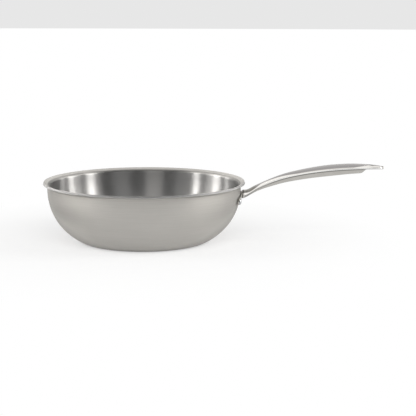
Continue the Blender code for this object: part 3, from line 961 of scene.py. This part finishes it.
def brushed_inside():
    """Brushed sheet inside, with painted shade at the two ends of the bowl and on the lip's bend,
    and a lip of its own tone.
    """
    material, tree, shader = new_finish("brushed_inside", 1.0)
    lines = placed(tree, LATHE_LINES, Lines_per_metre=2600.0, Breaks_round=3.0, Depth=0.00001,
                   Strength=0.25)
    marks = placed(tree, HANDLING_MARKS, Size=18.0)
    mixed = shared(tree, lines.outputs["Value"], marks.outputs["Value"], LINE_SHARE, MARK_SHARE)
    cut, lip, rim = placed(tree, CUT_EDGE_MASK).outputs
    x = parts_of(tree, object_place(tree))[0]
    # Painted shade at the bowl's two ends, and on the lip's bend below its rim
    ends = smooth_step(tree, sums(tree, "ABSOLUTE", x), *INNER_END_SHADE_STEP)
    bend = sums(tree, "MULTIPLY", lip, sums(tree, "SUBTRACT", 1.0, rim))
    tone = tinted(tree, mixed, *BRUSHED_TINTS)
    # The ground cut edge takes its own tone, lightened as a painted highlight
    for part, tint in ((ends, BLACK), (bend, LIP_BEND_SHADE), (rim, LIP_RIM_TONE),
                       (cut, CUT_EDGE_TONE_AND_HIGHLIGHT)):
        tone = mixed_colours(tree, part, tone, tint)
    tree.links.new(tone, shader.inputs["Base Color"])
    rough = blend_values(tree, lip, spread(tree, mixed, *BRUSHED_ROUGHNESS), LIP_ROUGHNESS)
    rough = blend_values(tree, cut, rough, EDGE_ROUGHNESS)
    tree.links.new(rough, shader.inputs["Roughness"])
    tree.links.new(blend_values(tree, lip, 1.0, LIP_ANISOTROPY), shader.inputs["Anisotropic"])
    tree.links.new(lines.outputs["Normal"], shader.inputs["Normal"])
    return material


def marked_metal(name, size, tints, roughness):
    """Metal whose tone and roughness vary with marks of one size."""
    material, tree, shader = new_finish(name)
    marks = placed(tree, HANDLING_MARKS, Size=size)
    tree.links.new(tinted(tree, marks.outputs["Value"], *tints), shader.inputs["Base Color"])
    tree.links.new(spread(tree, marks.outputs["Value"], *roughness), shader.inputs["Roughness"])
    return material


def polished_casting():
    """Polished casting with a painted highlight on its rim, painted shade in the crease below it,
    a painted darker top, and painted shade on the slot's far wall.
    """
    material, tree, shader = new_finish("polished_casting")
    polish = placed(tree, HANDLING_MARKS, Size=160.0, Stretch=(0.12, 1.0, 1.0))
    marks = placed(tree, HANDLING_MARKS, Size=35.0)
    painted_light_zones = tree.nodes.new("ShaderNodeVertexColor")
    painted_light_zones.layer_name = "painted_light_zones"
    parts = tree.nodes.new("ShaderNodeSeparateColor")
    tree.links.new(painted_light_zones.outputs["Color"], parts.inputs[0])
    rim, crease, top = parts.outputs
    walls = tree.nodes.new("ShaderNodeAttribute")
    walls.attribute_name = "slot_wall_shade"
    wall = smooth_step(tree, walls.outputs["Fac"], *SLOT_SHADE_STEP)
    tone = tinted(tree, marks.outputs["Value"], *CASTING_TINTS)
    # Painted dark top, painted highlight on the rim and the slot's near wall, painted shade in the
    # crease and on the slot's far wall
    for part, tint in ((top, HANDLE_TOP_SHADE), (rim, HANDLE_RIM_HIGHLIGHT), (crease, CREASE_SHADE_TONE),
                       (wall, SLOT_SHADE_TONE)):
        tone = mixed_colours(tree, part, tone, tint)
    tree.links.new(tone, shader.inputs["Base Color"])
    mixed = shared(tree, polish.outputs["Value"], marks.outputs["Value"], 0.5, 0.5)
    rough = blend_values(tree, wall, spread(tree, mixed, *CASTING_ROUGHNESS), SLOT_ROUGHNESS)
    tree.links.new(rough, shader.inputs["Roughness"])
    bump = tree.nodes.new("ShaderNodeBump")
    bump.inputs["Strength"].default_value = 0.12
    bump.inputs["Distance"].default_value = 0.00005
    tree.links.new(polish.outputs["Value"], bump.inputs["Height"])
    tree.links.new(bump.outputs[0], shader.inputs["Normal"])
    return material


def dress(piece, finish, slot, *nodes):
    """Give a piece its finish, its body and the nodes that it stands for. The slot is not used."""
    piece.data.materials.clear()
    piece.data.materials.append(finish)
    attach(piece, "root")
    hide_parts(*nodes)


# ---------------------------------------------------------------- studio

def showing_rays(tree):
    """1 for the rays that show floor and backdrop: camera, glossy and transmission rays."""
    path = tree.nodes.new("ShaderNodeLightPath")
    first = sums(tree, "MAXIMUM", path.outputs["Is Camera Ray"], path.outputs["Is Glossy Ray"])
    return sums(tree, "MAXIMUM", first, path.outputs["Is Transmission Ray"])


def floor():
    """Pale floor that keeps the pan's shadow and runs out into white."""
    start_fresh()
    bpy.ops.mesh.primitive_circle_add(vertices=FLOOR_POINTS, radius=FLOOR_RADIUS,
                                      fill_type="NGON")
    piece = bpy.context.object
    piece.name = "floor"
    material = bpy.data.materials.new("pale_floor")
    material.use_nodes = True
    tree = material.node_tree
    shader = tree.nodes["Principled BSDF"]
    shader.inputs["Roughness"].default_value = 0.9
    shader.inputs["Specular IOR Level"].default_value = 0.0
    place = object_place(tree)
    grain = noise(tree, place, Scale=40.0)
    tree.links.new(tinted(tree, grain.outputs[0], *FLOOR_TINTS), shader.inputs["Base Color"])
    distance = tree.nodes.new("ShaderNodeVectorMath")
    distance.operation = "DISTANCE"
    tree.links.new(place, distance.inputs[0])
    whiter = sums(tree, "MULTIPLY", spread(tree, distance.outputs["Value"], *FAR_FLOOR),
                  spread(tree, distance.outputs["Value"], *FLOOR_BY_BASE))
    white = tree.nodes.new("ShaderNodeEmission")
    mix = tree.nodes.new("ShaderNodeMixShader")
    tree.links.new(sums(tree, "MULTIPLY", whiter, showing_rays(tree)), mix.inputs[0])
    tree.links.new(shader.outputs[0], mix.inputs[1])
    tree.links.new(white.outputs[0], mix.inputs[2])
    tree.links.new(mix.outputs[0], tree.nodes["Material Output"].inputs["Surface"])
    piece.data.materials.append(material)


def world():
    """Pale backdrop for the rays that show it, and soft light of a plain level for the rest."""
    sky = bpy.data.worlds.new("studio")
    bpy.context.scene.world = sky
    sky.use_nodes = True
    tree = sky.node_tree
    light = tree.nodes["Background"]
    light.inputs["Color"].default_value = PLAIN_LIGHT
    light.inputs["Strength"].default_value = PLAIN_LIGHT_LEVEL
    backdrop = tree.nodes.new("ShaderNodeBackground")
    backdrop.inputs["Color"].default_value = BACKDROP
    mix = tree.nodes.new("ShaderNodeMixShader")
    tree.links.new(showing_rays(tree), mix.inputs[0])
    tree.links.new(light.outputs[0], mix.inputs[1])
    tree.links.new(backdrop.outputs[0], mix.inputs[2])
    tree.links.new(mix.outputs[0], tree.nodes["World Output"].inputs["Surface"])


def softbox(name, place, aim, width, height, brightness):
    """A soft lamp aimed at a spot, as bright as a white card times brightness, unseen in metal."""
    lamp = bpy.data.lights.new(name, "AREA")
    lamp.shape = "RECTANGLE"
    lamp.size = width
    lamp.size_y = height
    lamp.energy = brightness * math.pi * width * height
    item = bpy.data.objects.new(name, lamp)
    bpy.context.scene.collection.objects.link(item)
    item.location = place
    item.rotation_euler = (Vector(aim) - item.location).to_track_quat("-Z", "Y").to_euler()
    item.visible_camera = False
    item.visible_glossy = False


def with_lamps(tree, level, bearing, lamps, *masks):
    """A level of light with strip lamps added to it, each times the masks."""
    for centre, half, fade, brightness in lamps:
        off = sums(tree, "ABSOLUTE", sums(tree, "SUBTRACT", bearing, centre))
        lamp = smooth_step(tree, off, brightness, 0.0, half, half + fade)
        for mask in masks:
            lamp = sums(tree, "MULTIPLY", lamp, mask)
        level = sums(tree, "ADD", level, lamp)
    return level


def room():
    """Room above the white sweep with its arched strip lamps, seen only in the metal."""
    start_fresh()
    bpy.ops.mesh.primitive_uv_sphere_add(segments=ROOM_SEGMENTS, ring_count=ROOM_RINGS,
                                         radius=ROOM_RADIUS)
    piece = bpy.context.object
    piece.name = "room"
    bpy.ops.object.mode_set(mode="EDIT")
    bpy.ops.mesh.select_all(action="SELECT")
    bpy.ops.mesh.bisect(plane_co=(0, 0, ROOM_RADIUS * math.sin(SWEEP_TOP)), plane_no=(0, 0, 1),
                        clear_inner=True)
    bpy.ops.object.mode_set(mode="OBJECT")
    piece.visible_camera = False
    piece.visible_diffuse = False
    piece.visible_shadow = False
    material = bpy.data.materials.new("room_lights")
    material.use_nodes = True
    tree = material.node_tree
    tree.nodes.clear()
    aim = tree.nodes.new("ShaderNodeVectorMath")
    aim.operation = "NORMALIZE"
    tree.links.new(object_place(tree), aim.inputs[0])
    x, y, z = parts_of(tree, aim.outputs[0])
    arch = sums(tree, "ARCTANGENT", sums(tree, "DIVIDE", x, sums(tree, "SUBTRACT", ARCH_AXIS, y)))
    bearing = sums(tree, "DEGREES", arch)
    level = smooth_step(tree, sums(tree, "ABSOLUTE", bearing), *SIDES_STEP)
    low_glow = smooth_step(tree, z, *LOW_GLOW_STEP)
    rise = sums(tree, "ADD", z, sums(tree, "MULTIPLY", y, LAMP_TOP_LEAN))
    lit = sums(tree, "MULTIPLY", low_glow, smooth_step(tree, rise, *LAMP_TOP_STEP))
    level = with_lamps(tree, level, bearing, STRIP_LAMPS, lit)
    level = blend_values(tree, smooth_step(tree, z, *CEILING_STEP), level, CEILING_LEVEL)
    back = smooth_step(tree, z, *BACK_LEVEL_STEP)
    level = blend_values(tree, smooth_step(tree, y, *BACK_STEP), level, back)
    aside = smooth_step(tree, sums(tree, "ABSOLUTE", x), *ENDS_STEP)
    level = with_lamps(tree, level, bearing, END_LAMPS, aside, low_glow)
    warm = smooth_step(tree, level, *WARM_STEP)
    glow = tree.nodes.new("ShaderNodeEmission")
    tree.links.new(mixed_colours(tree, warm, COOL_GLOW, WARM_GLOW), glow.inputs["Color"])
    tree.links.new(level, glow.inputs["Strength"])
    out = tree.nodes.new("ShaderNodeOutputMaterial")
    tree.links.new(glow.outputs[0], out.inputs["Surface"])
    material.cycles.emission_sampling = "NONE"
    piece.data.materials.append(material)


def camera():
    """Camera at the height and distance from which the rim shows as a narrow ellipse."""
    lens = bpy.data.cameras.new("camera")
    lens.sensor_width = SENSOR_WIDTH
    lens.lens = SENSOR_WIDTH * FOCAL_PIXELS / PICTURE_PIXELS
    lens.clip_end = CAMERA_RANGE
    item = bpy.data.objects.new("camera", lens)
    bpy.context.scene.collection.objects.link(item)
    item.location = CAMERA_PLACE
    aim = Vector(CAMERA_AIM) - item.location
    item.rotation_euler = aim.to_track_quat("-Z", "Y").to_euler()
    item.rotation_euler.rotate_axis("Z", CAMERA_ROLL)
    bpy.context.scene.camera = item


camera()
world()
floor()
room()
for lamp in SOFTBOXES:
    softbox(*lamp)

LATHE_LINES = lathe_lines_group()
CUT_EDGE_MASK = cut_edge_group()
HANDLING_MARKS = handling_marks_group()

dress(clad_layer("outside_sheet", 0.0, OUTER_BOND), satin_outside(), "satin_steel", "outer_skin")
dress(clad_layer("heat_core", OUTER_BOND, INNER_BOND, CORE_RECESS),
      marked_metal("cut_core", 400.0, CORE_TINTS, CORE_ROUGHNESS), "aluminium",
      "aluminium_core")
dress(clad_layer("inside_sheet", INNER_BOND, WALL), brushed_inside(), "brushed_steel",
      "inner_skin")
dress(handle(), polished_casting(), "polished_steel", "handle")
rivet_finish = marked_metal("rivet_metal", 260.0, RIVET_TINTS, RIVET_ROUGHNESS)
dress(rivet("rivet_head_near", -1), rivet_finish, "rivet_steel", "rivet_near")
dress(rivet("rivet_head_far", 1), rivet_finish, "rivet_steel", "rivet_far")

scene = bpy.context.scene
scene.view_settings.view_transform = "Standard"
